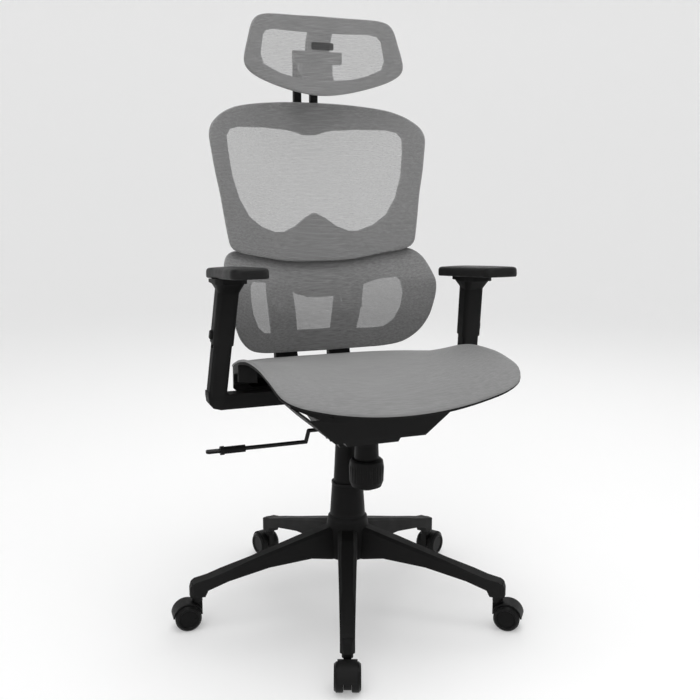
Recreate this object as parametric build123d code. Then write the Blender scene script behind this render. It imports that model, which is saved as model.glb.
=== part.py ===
from build123d import *
from math import cos, sin, radians
import os

# High-backed mesh desk chair with armrests, headrest and a five-legged castor base.
# +Z is up, the sitter faces -Y, +X is the sitter's left.
# The origin is on the floor, on the axis of the gas column.

os.makedirs("parts", exist_ok=True)

# ---- driving dimensions, mm ----
RUN = 0.05  # radial clearance of a shaft that turns or slides in a bore
SIDE = 0.3  # gap between flat or curved faces that move past each other

# base and castors
LEG_COUNT = 5
FIRST_LEG = -111.0
CASTOR_CIRCLE = 305.0
HUB_R = 39.0
HUB_TOP = 194.0
HUB_BOTTOM = 108.0
WHEEL_D = 50.0
WHEEL_W = 16.0
WEB_T = 13.4
CASTOR_TRAIL = 20.0
STEM_R = 5.5
AXLE_R = 3.0

# column
TUBE_R = 22.0
TUBE_WALL = 2.0
GAS_R = 14.0
GAS_WALL = 2.0
PISTON_ROD_R = 5.0
TUBE_FOOT = 104.0
TUBE_HEAD = 250.0
SLEEVE_TOP = 262.0
COVER_TOP = 338.0

# tilt mechanism
HOUSING_HALF_W = 62.0
HOUSING_WALL = 5.0
HOUSING_FLOOR = 345.0
GAS_TOP = 368.0
TILT_Y = -45.0
TILT_Z = 395.0
TILT_MAX = 16.0
TILT_PIN_R = 8.0
PLATE_TOP = 440.0
PLATE_T = 4.0
KNOB_Y = -100.0
KNOB_R = 33.0
LEVER_Y = 8.0
LEVER_ROD_R = 4.0
LEVER_PIVOT_X = -30.0
LEVER_PIVOT_Z = 370.0

# seat
SEAT_HALF_W = 225.0
SEAT_FRONT = -290.0
SEAT_REAR = 188.0
MESH_T = 2.5
FRAME_T = 12.0

# armrests
POST_W = 39.0
POST_D = 35.0
CORE_INSET = 2.4
ARM_OUT = 35.0  # post axis beyond the seat edge, at the bottom
ARM_FOOT_Z = 458.0
ARM_HEAD = (-17.0, -50.0, 234.0)  # rise of the left post's axis
SEAM = 90.0  # bracket and sleeve meet this far up the post
SLEEVE_HEAD_Z = 657.5
RIGHT_ARM_RAISED = 13.0
PAD_W = 67.0
PAD_L = 216.0
PAD_T = 18.0
PAD_PITCH = 4.0  # degrees that the pads rise towards the front
PAD_CENTRE_Y = -74.0

# backrest
BACK_HALF_W = 227.0
BACK_BULGE = 345.0
LUMBAR_HALF_W = 218.0
LUMBAR_BULGE = 225.0
LUMBAR_PIVOT = (184.0, 600.0)
HEAD_HALF_W = 162.0
HEAD_BULGE = 560.0
HEAD_PIVOT = (188.0, 1075.0)
HEAD_POST_X = 18.0
HEAD_POST_Y = 248.0


# ---- shape helpers ----
def span(a, b, p):
    """Straight-line value between (a0, a1) and (b0, b1) at p."""
    return a[1] + (b[1] - a[1]) * (p - a[0]) / (b[0] - a[0])


def tube(r_out, r_in, z0, z1, x=0.0, y=0.0):
    """Vertical ring, or a plain cylinder when r_in is 0."""
    body = Pos(x, y, (z0 + z1) / 2) * Cylinder(r_out, z1 - z0)
    if r_in > 0:
        body = body - Pos(x, y, (z0 + z1) / 2) * Cylinder(r_in, z1 - z0 + 2)
    return body


def block(x0, x1, y0, y1, z0, z1):
    """Box between three pairs of limits."""
    middle = Pos((x0 + x1) / 2, (y0 + y1) / 2, (z0 + z1) / 2)
    return middle * Box(x1 - x0, y1 - y0, z1 - z0)


def rod(radius, start, end):
    """Round bar between two points."""
    axis = Vector(*end) - Vector(*start)
    plane = Plane(origin=start, z_dir=axis)
    return Solid.make_cylinder(radius, axis.length, plane)


def bent_rod(radius, points):
    """Round bar through several points, with ball corners."""
    body = rod(radius, points[0], points[1])
    for a, b in zip(points[1:-1], points[2:]):
        body = body + Pos(*a) * Sphere(radius) + rod(radius, a, b)
    return body


def turned(profile):
    """Solid of revolution about Z from (radius, height) points."""
    wire = Wire.make_polygon([(r, 0, z) for r, z in profile], close=True)
    return Solid.revolve(Face(wire), 360, Axis.Z)


def side_prism(points, x0, x1):
    """Outline of (y, z) points, carried across from x0 to x1."""
    wire = Wire.make_polygon([(x0, y, z) for y, z in points], close=True)
    return Solid.extrude(Face(wire), Vector(x1 - x0, 0, 0))


def front_prism(points, y0, y1):
    """Outline of (x, z) points, carried back from y0 to y1."""
    wire = Wire.make_polygon([(x, y0, z) for x, z in points], close=True)
    return Solid.extrude(Face(wire), Vector(0, y1 - y0, 0))


def plan_prism(points, z0, z1):
    """Outline of (x, y) points, carried up from z0 to z1."""
    wire = Wire.make_polygon([(x, y, z0) for x, y in points], close=True)
    return Solid.extrude(Face(wire), Vector(0, 0, z1 - z0))


def mirrored(half):
    """Close a right-hand half outline with its mirror image."""
    left = [(-a, b) for a, b in reversed(half) if a > 0.01]
    return list(half) + left


def soft_front_prism(points, y0, y1):
    """Smooth closed curve through (x, z) points, carried back from y0 to y1."""
    edge = Edge.make_spline([(x, y0, z) for x, z in points], periodic=True)
    return Solid.extrude(Face(Wire([edge])), Vector(0, y1 - y0, 0))


def soft_plan_prism(points, z0, z1):
    """Smooth closed curve through (x, y) points, carried up from z0 to z1."""
    edge = Edge.make_spline([(x, y, z0) for x, y in points], periodic=True)
    return Solid.extrude(Face(Wire([edge])), Vector(0, 0, z1 - z0))


def upright_sheet(surface, half_w, z0, z1, shift, thick):
    """Layer of even depth behind y = surface(x, z) + shift."""
    rows = []
    for j in range(9):
        z = z0 + (z1 - z0) * j / 8
        xs = [half_w * (i - 6) / 6 for i in range(13)]
        rows.append([Vector(x, surface(x, z) + shift, z) for x in xs])
    face = Face.make_surface_from_array_of_points(rows, tol=0.01, min_deg=3, max_deg=3)
    return Solid.extrude(face, Vector(0, thick, 0))


def scaled(points, kx, kz, cz):
    """Scale an outline about x = 0 and the height cz."""
    return [(x * kx, cz + (z - cz) * kz) for x, z in points]


# ---- base ----
def leg_blank(inset):
    """Tapered, arched leg along +X; inset shrinks it for the hollow underneath."""
    tip = WHEEL_D + 12.0
    c = CASTOR_CIRCLE
    top = [(0, 182), (HUB_R, 173), (100, 155), (c - 105, 124), (c - 22, tip + 36), (c + 3, tip + 31)]
    low = [(c + 11, tip + 26), (c + 14, tip + 18), (c + 14, tip), (c - 14, tip), (c - 20, tip + 12)]
    arch = [(c - 60, tip + 26), (c - 140, 106), (80, 114), (HUB_R, HUB_BOTTOM), (0, HUB_BOTTOM)]
    if inset > 0:
        top = [(0, 182 - inset), (c - 105, 124 - inset), (c - 34, tip + 41 - inset)]
        low = [(c - 22, tip + 20)]
        arch = [(c - 22, 40), (0, 40)]
    outline = top + low + arch
    wire = Wire.make_polygon([(x, -40, z) for x, z in outline], close=True)
    side = Solid.extrude(Face(wire), Vector(0, 80, 0))
    wide = 19.0 - inset
    slim = 13.0 - inset
    tip_x = c + 14 - 5 * inset
    plan = [(0, -wide), (HUB_R, -wide), (c - 10, -slim), (tip_x - 6, -slim), (tip_x, -slim * 0.5)]
    plan = plan + [(x, -y) for x, y in reversed(plan)]
    leg = side & plan_prism(plan, 20, 260)
    if inset == 0:
        ridge = []
        for x, z in [(-5, 185), (100, 157), (c - 105, 126), (c + 40, tip + 30)]:
            ridge.append((x, z))
        leg = leg - leg_bevel(ridge, 1) - leg_bevel(ridge, -1)
    return leg


def leg_bevel(ridge, side):
    """Sloping cut along one top edge of a leg."""
    cut = None
    for (xa, za), (xb, zb) in zip(ridge[:-1], ridge[1:]):
        wedge = []
        for x, z in ((xa, za), (xb, zb)):
            outer = span((0, 19.5), (CASTOR_CIRCLE, 12.5), x)
            tri = [(x, side * (outer - 8), z), (x, side * (outer + 9), z - 13), (x, side * (outer + 9), z + 9)]
            wedge.append(Wire.make_polygon(tri, close=True))
        piece = Solid.make_loft(wedge, ruled=True)
        cut = piece if cut is None else cut + piece
    return cut


def base_star():
    """Moulded five-legged base with its hub and castor sockets."""
    tip = WHEEL_D + 12.0
    recess_r = TUBE_R + 8.0
    body = turned([(0, HUB_BOTTOM), (HUB_R, HUB_BOTTOM), (HUB_R + 3, 172), (HUB_R, HUB_TOP - 4), (HUB_R - 3, HUB_TOP),
                   (0, HUB_TOP)])
    hollow = None
    for k in range(LEG_COUNT):
        turn = Rot(0, 0, FIRST_LEG + 360 / LEG_COUNT * k)
        body = body + turn * leg_blank(0)
        space = turn * leg_blank(4.0)
        hollow = space if hollow is None else hollow + space
    hollow = hollow - tube(TUBE_R + 9, 0, 0, 300)
    body = body - hollow
    for k in range(LEG_COUNT):
        turn = Rot(0, 0, FIRST_LEG + 360 / LEG_COUNT * k)
        ribs = block(70, 73, -19, 19, 100, 200) + block(125, 128, -19, 19, 80, 200)
        ribs = ribs + block(190, 193, -19, 19, 70, 200)
        body = body + (turn * (ribs & leg_blank(0)))
        body = body + turn * tube(11.5, 0, tip, tip + 28, CASTOR_CIRCLE)
        body = body - turn * tube(STEM_R + RUN, 0, tip - 5, tip + 26, CASTOR_CIRCLE)
    body = body - tube(TUBE_R, 0, 0, 300) - tube(recess_r, 0, HUB_TOP - 29, HUB_TOP + 5)
    return body


def column_tube():
    """Steel outer tube of the gas column, closed at the bottom by a plate."""
    tube_in = TUBE_R - TUBE_WALL
    body = tube(TUBE_R, tube_in, TUBE_FOOT, TUBE_HEAD)
    return body + tube(tube_in + 0.5, PISTON_ROD_R + 2, TUBE_FOOT, TUBE_FOOT + 3)


def guide_bush():
    """Plastic guide that the gas cylinder slides and turns in."""
    return tube(TUBE_R - TUBE_WALL, GAS_R + RUN, TUBE_HEAD - 55, TUBE_HEAD)


def thrust_bearing():
    """Washer stack that carries the chair and lets it swivel."""
    z = TUBE_FOOT + 3
    return tube(17, PISTON_ROD_R + RUN, z, z + 7)


def sleeve_lower():
    """Fixed outer cover of the column, standing on the hub."""
    foot = TUBE_R + 13.0
    head = TUBE_R + 9.0
    wall = 2.0
    return turned([(foot - wall, HUB_TOP), (foot, HUB_TOP), (foot, HUB_TOP + 4), (head, SLEEVE_TOP - 5),
                   (head + 0.8, SLEEVE_TOP - 4), (head + 0.8, SLEEVE_TOP), (head - wall, SLEEVE_TOP)])


# ---- column, moving parts ----
def piston_rod():
    """Rod with its piston; it turns with the seat on the thrust bearing."""
    z = TUBE_FOOT + 10
    piston = TUBE_HEAD - 26
    body = tube(PISTON_ROD_R, 0, TUBE_FOOT - 4, piston)
    body = body + tube(10, 0, z + 0.02, z + 4)
    return body + tube(GAS_R - GAS_WALL - RUN, 0, piston, piston + 12)


def gas_cylinder():
    """Pressurised cylinder that carries the seat."""
    low = TUBE_HEAD - 50
    body = tube(GAS_R, 0, low, GAS_TOP)
    body = body - tube(GAS_R - GAS_WALL, 0, low + 10, GAS_TOP - 8)
    body = body - tube(PISTON_ROD_R + RUN, 0, low - 5, low + 12)
    return body - tube(3.0 + RUN, 0, GAS_TOP - 10, GAS_TOP + 5)


def sleeve_upper():
    """Inner cover of the column; it slides down into the lower sleeve and the hub."""
    low = SLEEVE_TOP - 12
    r0 = TUBE_R + 6.3
    r1 = TUBE_R + 2.0
    wall = 1.5
    rim = [(r0 - wall, low), (r0, low), (r1, COVER_TOP), (GAS_R, COVER_TOP), (GAS_R, COVER_TOP - 3)]
    return turned(rim + [(r1 - wall, COVER_TOP - 3)])


def housing_outline(w):
    """Side view of the tilt housing, drawn in by w."""
    slope = -sin(radians(TILT_MAX)) / cos(radians(TILT_MAX))
    reach = (PLATE_TOP - PLATE_T - TILT_Z) / cos(radians(TILT_MAX)) - 3.0
    rear = 82.0 - w
    rear_top = TILT_Z + reach + slope * (82.0 - TILT_Y) - w
    brow = TILT_Z + reach + slope * (-40.0 - TILT_Y) - w
    f = HOUSING_FLOOR + w
    return [(-132 + w, 372 + w), (-64, 372 + w), (-46, f), (50, f), (rear, 362 + w), (rear, rear_top),
            (-40, brow), (-132 + w, brow)]


def mechanism_housing():
    """Cast housing on top of the gas cylinder."""
    h = HOUSING_HALF_W
    w = HOUSING_WALL
    belly = [(32, HOUSING_FLOOR - 1), (h, TILT_Z - 6), (h, PLATE_TOP)]
    room = [(32 - w, HOUSING_FLOOR - 1 + w * 0.7), (h - w, TILT_Z - 4), (h - w, PLATE_TOP)]
    body = side_prism(housing_outline(0), -h, h) & front_prism(mirrored_low(belly), -140, 90)
    body = body - (side_prism(housing_outline(w), -h, h) & front_prism(mirrored_low(room), -140, 90))
    body = body + tube(20, 0, HOUSING_FLOOR, GAS_TOP) + tube(14, 0, 373, 400, 0, KNOB_Y)
    body = body - tube(GAS_R, 0, 300, GAS_TOP + 0.01) - tube(6 + RUN, 0, 350, 405, 0, KNOB_Y)
    for y in (LEVER_Y - 14, LEVER_Y + 9):
        x = LEVER_PIVOT_X
        ear = block(x - 8, x + 8, y, y + 5, HOUSING_FLOOR + 2, LEVER_PIVOT_Z + 8)
        body = body + ear
    trunnion = rod(3 + RUN, (LEVER_PIVOT_X, LEVER_Y - 20, LEVER_PIVOT_Z), (LEVER_PIVOT_X, LEVER_Y + 20, LEVER_PIVOT_Z))
    slot = rod(LEVER_ROD_R + 3, (-h - 5, LEVER_Y, LEVER_PIVOT_Z), (LEVER_PIVOT_X - 6, LEVER_Y, LEVER_PIVOT_Z))
    pin = rod(TILT_PIN_R, (-90, TILT_Y, TILT_Z), (90, TILT_Y, TILT_Z))
    return body - trunnion - slot - pin


def tilt_pin():
    """Steel shaft that the seat plate rocks on."""
    h = HOUSING_HALF_W + 13
    return rod(TILT_PIN_R, (-h, TILT_Y, TILT_Z), (h, TILT_Y, TILT_Z))


def tilt_spring():
    """Coils of the tilt spring around its shaft, as a stack of rings."""
    h = HOUSING_HALF_W - HOUSING_WALL - 14
    body = rod(TILT_PIN_R + 3, (-h, TILT_Y, TILT_Z), (h, TILT_Y, TILT_Z))
    for i in range(9):
        x = -h + 4 + (2 * h - 8) * i / 8
        body = body + rod(18, (x - 3.2, TILT_Y, TILT_Z), (x + 3.2, TILT_Y, TILT_Z))
    return body - rod(TILT_PIN_R, (-90, TILT_Y, TILT_Z), (90, TILT_Y, TILT_Z))


def tension_knob():
    """Fluted hand knob that sets the tilt spring, with its screw."""
    r = KNOB_R
    body = turned([(0, 278), (r * 0.45, 278), (r * 0.86, 284), (r * 0.97, 294), (r, 320), (r * 0.94, 333), (r * 0.85, 336),
                   (r * 0.7, 337), (r * 0.66, 371.6), (0, 371.6)])
    for i in range(24):
        a = radians(15 * i)
        body = body - tube(2.2, 0, 281, 331, (r + 0.9) * cos(a), (r + 0.9) * sin(a))
    body = body + tube(6, 0, 371, 398)
    return Pos(0, KNOB_Y, 0) * body


def height_lever():
    """Cranked lever under the sitter's right hand; its inner end presses the valve."""
    y = LEVER_Y
    px = LEVER_PIVOT_X
    pz = LEVER_PIVOT_Z
    low = 348.0
    path = [(-18, y, pz + 12), (px + 5, y, pz), (px - 48, y, pz), (px - 54, y, low), (-212, y, low)]
    body = bent_rod(LEVER_ROD_R, path)
    body = body + rod(3, (px, y - 14, pz), (px, y + 14, pz)) + rod(6, (px, y - 8, pz), (px, y + 8, pz))
    body = body + rod(4, (-18, y, pz + 12), (0, y, pz + 12)) + rod(4, (0, y - 14, pz + 12), (0, y + 4, pz + 12))
    return body + Pos(-18, y, pz + 12) * Sphere(4)


def lever_grip():
    """Moulded grip and flat paddle on the end of the lever."""
    y = LEVER_Y
    z = 348.0
    body = rod(7, (-250, y, z), (-206, y, z)) + rod(8.5, (-254, y, z), (-247, y, z))
    paddle = block(-281, -250, y - 8, y + 8, z - 2.2, z + 2.2)
    body = body + fillet(paddle.edges().filter_by(Axis.Z), 6)
    return body - rod(LEVER_ROD_R, (-212, y, z), (-200, y, z))


def valve_button():
    """Pin in the top of the gas cylinder that frees the height."""
    return tube(3, 0, GAS_TOP - 5, GAS_TOP + 8) + tube(5, 0, GAS_TOP + 7, GAS_TOP + 9.5)


# ---- seat ----
def seat_half_outline():
    """Right half of the seat's plan, front to rear."""
    w = SEAT_HALF_W
    f = SEAT_FRONT
    r = SEAT_REAR
    return [(0, f), (0.36 * w, f), (0.68 * w, f + 1), (0.87 * w, f + 4), (0.965 * w, f + 14), (w, f + 44),
            (w, -110), (0.99 * w, -20), (0.96 * w, 50), (0.87 * w, 110), (0.72 * w, 155), (0.5 * w, r - 7),
            (0.25 * w, r), (0, r)]


def seat_height(x, y):
    """Top of the seat mesh: raised sides, dished middle, falling front edge."""
    centre = [(-320, 452), (-290, 470), (-250, 490), (-200, 500), (-100, 507), (0, 505), (100, 497), (200, 484),
              (220, 481)]
    edge = [(-320, 490), (-290, 508), (-256, 527), (-216, 536), (-170, 541), (-90, 539), (-33, 529), (10, 517),
            (60, 503), (200, 484), (220, 482)]
    lean = min(1.0, abs(x) / SEAT_HALF_W) ** 2
    return curve_at(centre, y) * (1 - lean) + curve_at(edge, y) * lean


def curve_at(points, p):
    """Smooth value through (position, value) pairs."""
    for k in range(len(points) - 1):
        if points[k][0] <= p <= points[k + 1][0]:
            break
    a = points[max(k - 1, 0)]
    b = points[k]
    c = points[k + 1]
    d = points[min(k + 2, len(points) - 1)]
    t = (p - b[0]) / (c[0] - b[0])
    m0 = (c[1] - a[1]) / (c[0] - a[0]) * (c[0] - b[0])
    m1 = (d[1] - b[1]) / (d[0] - b[0]) * (c[0] - b[0])
    h1 = 2 * t ** 3 - 3 * t ** 2 + 1
    h2 = t ** 3 - 2 * t ** 2 + t
    h3 = -2 * t ** 3 + 3 * t ** 2
    h4 = t ** 3 - t ** 2
    return h1 * b[1] + h2 * m0 + h3 * c[1] + h4 * m1


def seat_sheet(drop, thick):
    """Layer of even depth under the seat's top surface."""
    rows = []
    for j in range(14):
        y = SEAT_FRONT - 20 + (SEAT_REAR - SEAT_FRONT + 45) * j / 13
        xs = [(SEAT_HALF_W + 6) * (i - 6) / 6 for i in range(13)]
        rows.append([Vector(x, y, seat_height(x, y) - drop - thick) for x in xs])
    face = Face.make_surface_from_array_of_points(rows, tol=0.01, min_deg=3, max_deg=3)
    return Solid.extrude(face, Vector(0, 0, thick))


def seat_mesh():
    """Stretched mesh of the seat."""
    return seat_sheet(0, MESH_T) & soft_plan_prism(mirrored(seat_half_outline()), 400, 620)


def seat_opening():
    """Inside outline of the seat frame's rim."""
    return [(x * 0.84, -55 + (y + 55) * 0.86) for x, y in mirrored(seat_half_outline())]


def seat_frame():
    """Moulded frame: rim under the mesh edge, two cross members and skirts."""
    outline = soft_plan_prism(mirrored(seat_half_outline()), 400, 620)
    opening = soft_plan_prism(seat_opening(), 390, 630)
    rim = (seat_sheet(MESH_T, 7) & outline) - opening
    below = seat_sheet(MESH_T, 140) & outline
    w = SEAT_HALF_W
    base = PLATE_TOP + 16
    rear = [(0, base), (0.44 * w, base), (0.52 * w, base - 10), (0.91 * w, base - 10), (0.98 * w, base + 6),
            (0.98 * w, 560), (0.88 * w, 560), (0.86 * w, base + 12), (0.8 * w, base + 2), (0.55 * w, base + 2),
            (0.47 * w, base + 10), (0, base + 10)]
    base = PLATE_TOP
    front = [(0, base), (0.5 * w, base), (0.8 * w, base + 32), (0.97 * w, 580), (0.84 * w, 580), (0.7 * w, base + 36),
             (0.47 * w, base + 10), (0, base + 10)]
    members = front_prism(mirrored_low(rear), 42, 118) + front_prism(mirrored_low(front), -205, -135)
    skirt = (soft_plan_prism(mirrored(seat_half_outline()), 400, 620) - opening) & block(-w, w, -20, 150, 440, 600)
    skirt = skirt & (seat_sheet(MESH_T, 38))
    slots = block(-w, w, -14, 30, 400, 600) & seat_sheet(22, 60)
    return rim + (members & below) + (skirt - slots)


def mirrored_low(half):
    """Close a right-hand half section whose first and last points are on the centre line."""
    return half + [(-x, z) for x, z in reversed(half) if x > 0]


def top_plate():
    """Pressed steel plate with two cheeks that rock on the tilt shaft."""
    body = block(-95, 95, -150, 150, PLATE_TOP - PLATE_T, PLATE_TOP)
    inner = HOUSING_HALF_W + 3
    cheek = [(-90, PLATE_TOP - 2), (TILT_Y - 16, TILT_Z - 4), (TILT_Y - 8, TILT_Z - 14), (TILT_Y + 8, TILT_Z - 14),
             (TILT_Y + 16, TILT_Z - 4), (20, PLATE_TOP - 2)]
    body = body + side_prism(cheek, inner, inner + 5) + side_prism(cheek, -inner - 5, -inner)
    holes = rod(TILT_PIN_R + RUN, (-90, TILT_Y, TILT_Z), (90, TILT_Y, TILT_Z))
    return body - holes


def under_cover():
    """Flared plastic cover hanging round the mechanism, open below and behind."""
    outer = cover_loft(0)
    inner = cover_loft(3)
    body = outer - inner - block(-200, 200, 52, 200, 380, 460)
    body = body - block(-95.5, 95.5, -150.5, 150.5, PLATE_TOP - PLATE_T - 0.01, PLATE_TOP + 1)
    bars = POST_D / 2 + SIDE
    return body - block(-200, 200, -bars, bars, PLATE_TOP - 11, PLATE_TOP + 1)


def cover_loft(w):
    """Flared block: narrow at the bottom, wide where it meets the seat."""
    low = 391.0 - (w > 0) * 2
    high = PLATE_TOP + (w > 0) * 2
    small = [(-88 + w, -170 + w), (88 - w, -170 + w), (88 - w, 60), (-88 + w, 60)]
    large = [(-140 + w, -182 + w), (140 - w, -182 + w), (140 - w, 60), (-140 + w, 60)]
    wires = [Wire.make_polygon([(x, y, low) for x, y in small], close=True),
             Wire.make_polygon([(x, y, high) for x, y in large], close=True)]
    return Solid.make_loft(wires, ruled=True)


def cap_screws():
    """Cap screws that hold brackets and spine to the seat plate, and the back to the spine."""
    screws = []
    for x, y, z in [(-80, 0, 450), (80, 0, 450), (-40, 142, 456), (40, 142, 456), (-40, 70, 466), (40, 70, 466)]:
        screws.append(tube(6, 0, z, z + 5, x, y) - tube(3, 0, z + 2, z + 6, x, y))
    for x in (-80, 80):
        for z in (716, 733):
            y = span((700, 222), (742, 216), z) + 1
            screws.append(rod(6, (x, y, z), (x, y + 5, z)) - rod(3, (x, y + 3, z), (x, y + 6, z)))
    return screws


# ---- armrests, drawn for the sitter's left and mirrored for the right ----
def post_plane():
    """Plane square to the left post, at its foot, with X pointing outward."""
    axis = Vector(*ARM_HEAD).normalized()
    out = Vector(1, 0, 0) - axis * axis.X
    return Plane(origin=(SEAT_HALF_W + ARM_OUT, 0, ARM_FOOT_Z), x_dir=out, z_dir=axis)


def post_bar(width, depth, s0, s1, corner):
    """Rounded bar along the post."""
    bar = extrude(RectangleRounded(width, depth, corner), s1 - s0)
    return post_plane().location * (Pos(0, 0, s0) * bar)


def arm_bracket():
    """L-shaped bracket: flat tab on the seat plate, bar outward, lower post and inner core."""
    x = SEAT_HALF_W + ARM_OUT
    half = POST_W / 2
    corner = 24.0
    depth = POST_D - 2 * CORE_INSET
    elbow = [(100, 432), (x + half - corner, 432), (x + half - 10, 436), (x + half - 3, 445), (x + half - 1.4, 458),
             (x + half - 1.6, 466), (x - half + 5, 466), (x - half - 2, 460), (100, 459)]
    body = front_prism(elbow, -depth / 2, depth / 2)
    body = body + block(62, 104, -depth / 2, depth / 2, PLATE_TOP, PLATE_TOP + 10)
    body = body - block(55, 96, -60, 60, 400, PLATE_TOP)
    core_w = POST_W - 2 * CORE_INSET
    body = body + post_bar(core_w, depth, -6, SEAM + 100, 6)
    rack = post_plane().location * (Pos(core_w / 2, 0, SEAM + 4) * Box(12, 13.4, 184, align=(Align.CENTER, Align.CENTER, Align.MIN)))
    return body - (rack & post_bar(core_w + 9, depth, SEAM + 4, SEAM + 96, 1))


def arm_sleeve():
    """Sliding upper post that flares out under the pad carrier."""
    core_w = POST_W - 2 * CORE_INSET
    core_d = POST_D - 2 * CORE_INSET
    body = post_bar(POST_W, POST_D, SEAM + 0.3, SEAM + 102, 8)
    place = post_plane().location
    neck = place * (Pos(0, 0, SEAM + 100) * RectangleRounded(POST_W, POST_D, 8))
    head_x, head_y = carrier_centre()
    flange = Pos(head_x, head_y, SLEEVE_HEAD_Z) * RectangleRounded(52, 60, 12)
    body = body + loft([neck.faces()[0], flange.faces()[0]])
    body = body - post_bar(core_w + 2 * SIDE, core_d + 2 * SIDE, SEAM - 5, SEAM + 103, 6)
    body = body - tube(9 + RUN, 0, SLEEVE_HEAD_Z - 5, SLEEVE_HEAD_Z + 1, head_x, head_y)
    slot = extrude(RectangleRounded(16.8, 12.8, 4), 20)
    side = place * (Pos(12, 0, SEAM + 16) * (Rot(0, 90, 0) * slot))
    return body - side


def carrier_centre():
    """Where the post's axis meets the underside of the pad carrier."""
    k = (SLEEVE_HEAD_Z - ARM_FOOT_Z) / ARM_HEAD[2]
    return SEAT_HALF_W + ARM_OUT + ARM_HEAD[0] * k, ARM_HEAD[1] * k


def arm_button():
    """Push button in the outer wall of the sleeve that frees the arm height."""
    head = extrude(RectangleRounded(16.2, 12.2, 3.5), 9.5)
    edges = head.edges().group_by(Axis.Z)[-1]
    head = chamfer(edges, 1.5)
    return post_plane().location * (Pos(14.6, 0, SEAM + 16) * (Rot(0, 90, 0) * head))


def pitched(shape):
    """Tip a shape about the turntable's centre, so that its front end rises."""
    x, y = carrier_centre()
    z = SLEEVE_HEAD_Z + SIDE
    return Pos(x, y, z) * (Rot(-PAD_PITCH, 0, 0) * (Pos(-x, -y, -z) * shape))


def pad_carrier():
    """Turntable under the pad, with a wedge top and a rail that the pad slides on."""
    x, y = carrier_centre()
    z = SLEEVE_HEAD_Z + SIDE
    plate = Pos(x, y, z) * extrude(RectangleRounded(58, 72, 13), 14)
    plate = plate - pitched(block(x - 60, x + 60, y - 90, y + 90, z + 7.7, z + 40))
    peg = tube(9, 0, SLEEVE_HEAD_Z - 4.5, z + 1, x, y)
    rail = pitched(block(x - 9, x + 9, y - 30, y + 30, z + 6, z + 12))
    return plate + peg + rail


def arm_pad():
    """Padded arm top with a slide groove underneath."""
    x, y = carrier_centre()
    z = SLEEVE_HEAD_Z + 2 * SIDE + 7.7
    body = extrude(RectangleRounded(PAD_W, PAD_L, 19), PAD_T)
    body = fillet(body.edges().group_by(Axis.Z)[-1], 6)
    body = fillet(body.edges().group_by(Axis.Z)[0], 2)
    body = Pos(SEAT_HALF_W + ARM_OUT - 22.5, PAD_CENTRE_Y, z) * body
    groove = block(x - 9 - SIDE, x + 9 + SIDE, y - 47, y + 62, z - 1, z + 4.6)
    return pitched(body - groove)


def right_side(shape, raised):
    """Mirror a left arm piece, and raise it along the right post."""
    axis = Vector(*ARM_HEAD).normalized() * raised
    return Pos(-axis.X, axis.Y, axis.Z) * mirror(shape, about=Plane.YZ)


# ---- spine and upper back ----
def back_surface(x, z):
    """Front of the upper back mesh."""
    return 185 + (z - 784) * 0.19 - x * x / (2 * BACK_BULGE)


def back_outline():
    """Outline of the upper back, seen from the front."""
    k = BACK_HALF_W / 227.0
    half = [(0, 1010), (80, 1007), (156, 996), (190, 983), (211, 968), (222, 955), (227, 938), (224, 907), (219, 870),
            (211, 826), (204, 775), (199, 742), (195, 725), (184, 714), (135, 702), (76, 690), (0, 687)]
    return mirrored([(x * k, z) for x, z in half])


def back_window():
    """Opening of the upper back frame, with its peak at the bottom."""
    k = BACK_HALF_W / 227.0
    half = [(0, 944), (15, 945), (30, 950), (48, 954), (100, 957), (160, 956), (181, 950), (190, 937), (189, 910), (183, 860), (170, 815),
            (150, 780), (123, 759), (92, 747), (70, 747), (45, 757), (20, 775), (0, 785)]
    return mirrored([(x * k, z) for x, z in half])


def back_mesh():
    """Stretched mesh of the upper back."""
    sheet = upright_sheet(back_surface, BACK_HALF_W + 8, 670, 1025, 0, MESH_T)
    return sheet & soft_front_prism(back_outline(), 50, 350)


def back_frame():
    """Moulded frame of the upper back, with spine pads and the headrest guide."""
    w = BACK_HALF_W + 8
    outline = soft_front_prism(back_outline(), 50, 350)
    window = front_prism(back_window(), 40, 360)
    body = (upright_sheet(back_surface, w, 670, 1025, MESH_T, FRAME_T) & outline) - window
    deep = upright_sheet(back_surface, w, 670, 1025, MESH_T + 1, 90)
    pads = block(60, 100, 100, 190, 706, 742) + block(-100, -60, 100, 190, 706, 742)
    guide = block(-42, 42, 100, HEAD_POST_Y + 13, 958, 1000)
    for x in (-HEAD_POST_X, HEAD_POST_X):
        guide = guide - block(x - 8 - SIDE, x + 8 + SIDE, HEAD_POST_Y - 5 - SIDE, HEAD_POST_Y + 5 + SIDE, 900, 1100)
    body = body + (pads & deep) + (guide & deep)
    for x in (-HEAD_POST_X, HEAD_POST_X):
        body = body - block(x - 8 - SIDE, x + 8 + SIDE, HEAD_POST_Y - 5 - SIDE, HEAD_POST_Y + 5 + SIDE, 900, 1100)
    return body


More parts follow.
